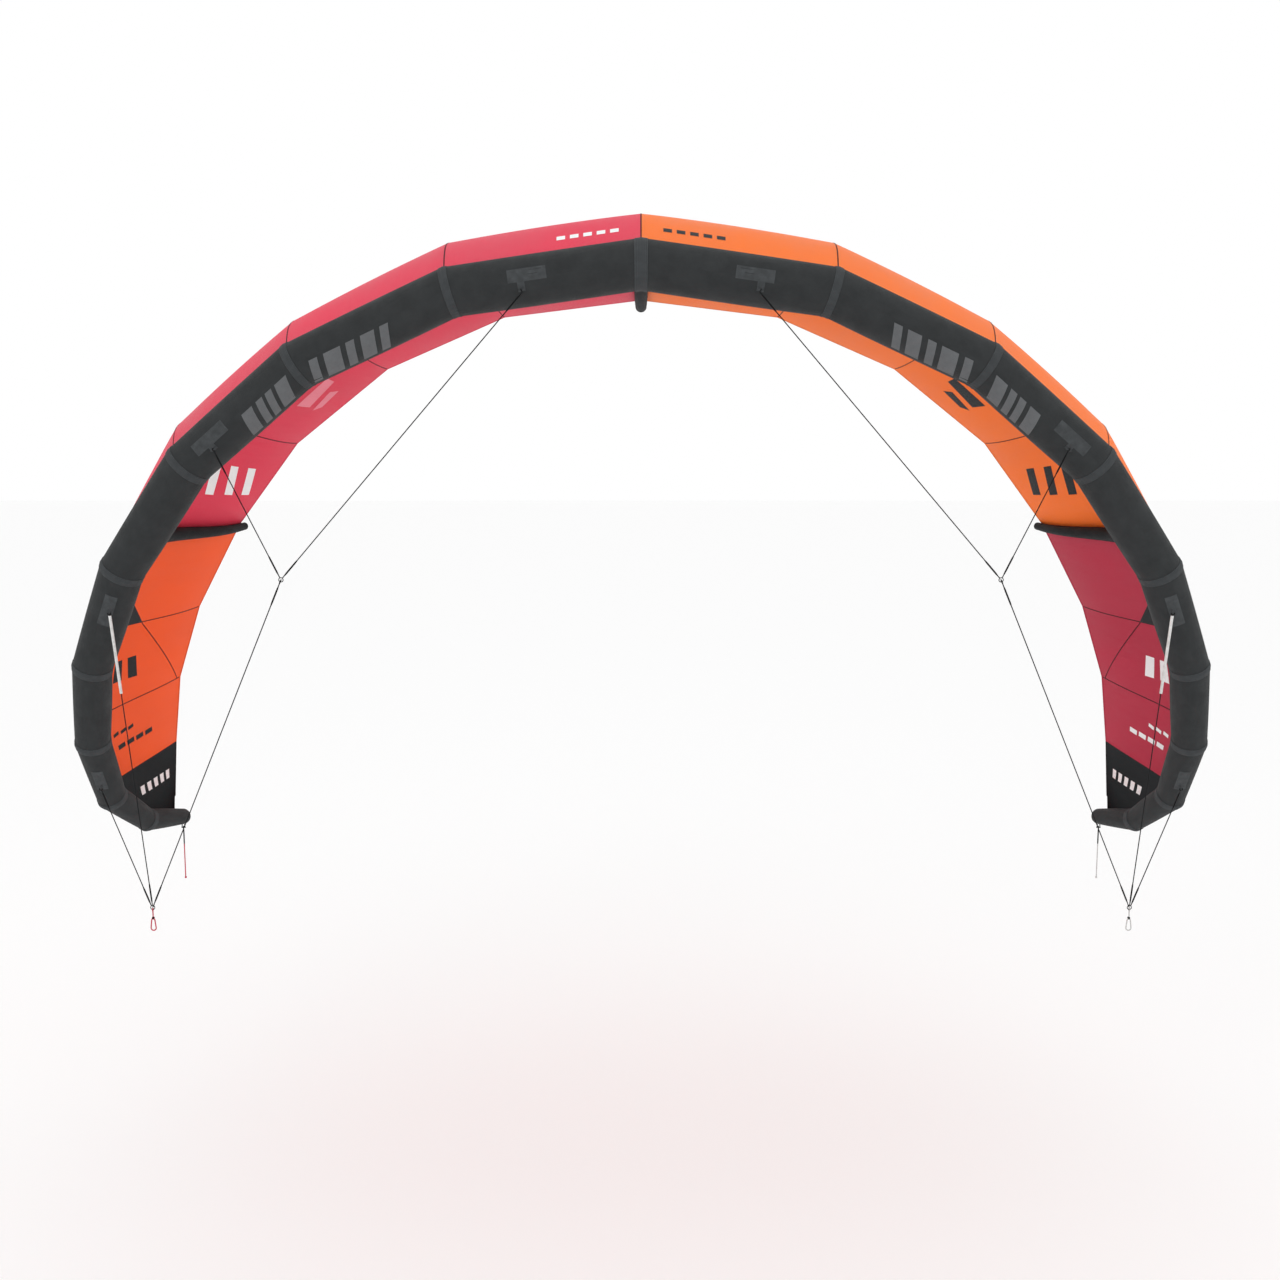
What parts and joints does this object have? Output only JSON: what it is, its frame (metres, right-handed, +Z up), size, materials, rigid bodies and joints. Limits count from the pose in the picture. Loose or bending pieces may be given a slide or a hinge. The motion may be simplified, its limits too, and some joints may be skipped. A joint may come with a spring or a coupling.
{
  "type": "kitesurfing kite",
  "caption": "Inflatable arched kite with an air-filled leading edge and struts, a panelled cloth canopy, and a bridle with line loops on each side.",
  "frame": {"origin": "midway between the two front line loops, at the height of their lower bights, where the pull of the front lines centres", "axes": "+X towards the right-hand tip, +Y from the leading edge to the trailing edge, +Z up"},
  "size_m": [4.5528, 1.6054, 2.7939],
  "materials": {
    "sleeve_cloth": "matte",
    "canopy_pink": "satin",
    "canopy_orange": "satin",
    "canopy_red_orange": "satin",
    "canopy_crimson": "satin",
    "canopy_black": "satin",
    "belt_webbing": "matte",
    "edge_tape": "matte",
    "patch_cloth": "matte",
    "bladder_film": "smooth film",
    "strut_cloth": "matte",
    "valve_plastic": "moulded",
    "lid_plastic": "moulded",
    "tab_webbing": "woven",
    "bridle_cord": "braided",
    "guard_sleeve": "braided",
    "pigtail_cord_right": "braided",
    "pigtail_cord_left": "braided"
  },
  "bodies": {
    "kite": {"le_sleeve_right_1": "sleeve_cloth", "le_sleeve_right_2": "sleeve_cloth", "le_sleeve_right_3": "sleeve_cloth", "le_sleeve_right_4": "sleeve_cloth", "le_sleeve_right_5": "sleeve_cloth", "le_sleeve_right_6": "sleeve_cloth", "le_sleeve_right_7": "sleeve_cloth", "le_sleeve_right_8": "sleeve_cloth", "le_sleeve_right_9": "sleeve_cloth", "le_sleeve_left_1": "sleeve_cloth", "le_sleeve_left_2": "sleeve_cloth", "le_sleeve_left_3": "sleeve_cloth", "le_sleeve_left_4": "sleeve_cloth", "le_sleeve_left_5": "sleeve_cloth", "le_sleeve_left_6": "sleeve_cloth", "le_sleeve_left_7": "sleeve_cloth", "le_sleeve_left_8": "sleeve_cloth", "le_sleeve_left_9": "sleeve_cloth", "canopy_right_1": "canopy_orange", "canopy_right_2": "canopy_orange", "canopy_right_3": "canopy_orange", "canopy_right_4": "canopy_orange", "canopy_right_5": "canopy_crimson", "canopy_right_6": "canopy_crimson", "canopy_right_7": "canopy_crimson", "canopy_right_8": "canopy_crimson", "canopy_right_9": "canopy_black", "canopy_left_1": "canopy_pink", "canopy_left_2": "canopy_pink", "canopy_left_3": "canopy_pink", "canopy_left_4": "canopy_pink", "canopy_left_5": "canopy_red_orange", "canopy_left_6": "canopy_red_orange", "canopy_left_7": "canopy_red_orange", "canopy_left_8": "canopy_red_orange", "canopy_left_9": "canopy_black", "seam_bands": "belt_webbing", "trailing_edge_tape": "edge_tape", "canopy_gussets": "patch_cloth", "le_bladder": "bladder_film", "strut_bladders": "bladder_film", "strut_centre": "strut_cloth", "strut_right": "strut_cloth", "strut_left": "strut_cloth", "valve_body": "valve_plastic", "bridle_tabs_right": "tab_webbing", "bridle_tabs_left": "tab_webbing"},
    "valve_lid": {"valve_lid": "lid_plastic"},
    "upper_bridle_right": {"upper_bridle_right": "bridle_cord"},
    "lower_bridle_right": {"lower_bridle_right": "bridle_cord", "bridle_guard_right": "guard_sleeve"},
    "bridle_link_right": {"bridle_link_right": "bridle_cord"},
    "front_pigtail_right": {"front_pigtail_right": "pigtail_cord_right"},
    "rear_pigtail_right": {"rear_pigtail_right": "pigtail_cord_right"},
    "upper_bridle_left": {"upper_bridle_left": "bridle_cord"},
    "lower_bridle_left": {"lower_bridle_left": "bridle_cord", "bridle_guard_left": "guard_sleeve"},
    "bridle_link_left": {"bridle_link_left": "bridle_cord"},
    "front_pigtail_left": {"front_pigtail_left": "pigtail_cord_left"},
    "rear_pigtail_left": {"rear_pigtail_left": "pigtail_cord_left"}
  },
  "joints": [
    {"name": "valve_lid_hinge", "type": "hinge", "parent": "kite", "child": "valve_lid", "pos_m": [0.18971, -0.1844, 2.42456], "axis": [-0.1061, -0.5555, -0.8247], "range_deg": [0, 160]},
    {"name": "upper_bridle_swing_right", "type": "hinge", "parent": "kite", "child": "upper_bridle_right", "pos_m": [0.41185, -0.3645, 2.41261], "axis": [0.8943, 0.0837, -0.4396], "range_deg": [0, 12]},
    {"name": "lower_bridle_swing_right", "type": "hinge", "parent": "kite", "child": "lower_bridle_right", "pos_m": [1.99277, -0.06963, 1.25334], "axis": [0.2321, 0.4386, -0.8682], "range_deg": [0, 3.3]},
    {"name": "bridle_link_swing_right", "type": "hinge", "parent": "lower_bridle_right", "child": "bridle_link_right", "pos_m": [1.8997, 0, 0.09929], "axis": [0.9111, 0, 0.4122], "range_deg": [-3.2, 0]},
    {"name": "front_pigtail_swing_right", "type": "hinge", "parent": "lower_bridle_right", "child": "front_pigtail_right", "pos_m": [1.903, 0, 0.084], "axis": [1, 0, 0], "range_deg": [-40, 40]},
    {"name": "rear_pigtail_swing_right", "type": "hinge", "parent": "kite", "child": "rear_pigtail_right", "pos_m": [2.04535, 0.89129, 0.17463], "axis": [1, 0, 0], "range_deg": [-50, 50]},
    {"name": "upper_bridle_swing_left", "type": "hinge", "parent": "kite", "child": "upper_bridle_left", "pos_m": [-0.41185, -0.3645, 2.41261], "axis": [0.8943, -0.0837, 0.4396], "range_deg": [0, 12]},
    {"name": "lower_bridle_swing_left", "type": "hinge", "parent": "kite", "child": "lower_bridle_left", "pos_m": [-1.99277, -0.06963, 1.25334], "axis": [0.2321, -0.4386, 0.8682], "range_deg": [0, 3.3]},
    {"name": "bridle_link_swing_left", "type": "hinge", "parent": "lower_bridle_left", "child": "bridle_link_left", "pos_m": [-1.8997, 0, 0.09929], "axis": [0.9111, 0, -0.4122], "range_deg": [-3.2, 0]},
    {"name": "front_pigtail_swing_left", "type": "hinge", "parent": "lower_bridle_left", "child": "front_pigtail_left", "pos_m": [-1.903, 0, 0.084], "axis": [1, 0, 0], "range_deg": [-40, 40]},
    {"name": "rear_pigtail_swing_left", "type": "hinge", "parent": "kite", "child": "rear_pigtail_left", "pos_m": [-2.04535, 0.89129, 0.17463], "axis": [1, 0, 0], "range_deg": [-50, 50]}
  ],
  "couplings": [
    {"joint": "lower_bridle_swing_right", "follows": "upper_bridle_swing_right", "ratio": 0.27},
    {"joint": "bridle_link_swing_right", "follows": "upper_bridle_swing_right", "ratio": -0.26},
    {"joint": "lower_bridle_swing_left", "follows": "upper_bridle_swing_left", "ratio": 0.27},
    {"joint": "bridle_link_swing_left", "follows": "upper_bridle_swing_left", "ratio": -0.26}
  ]
}
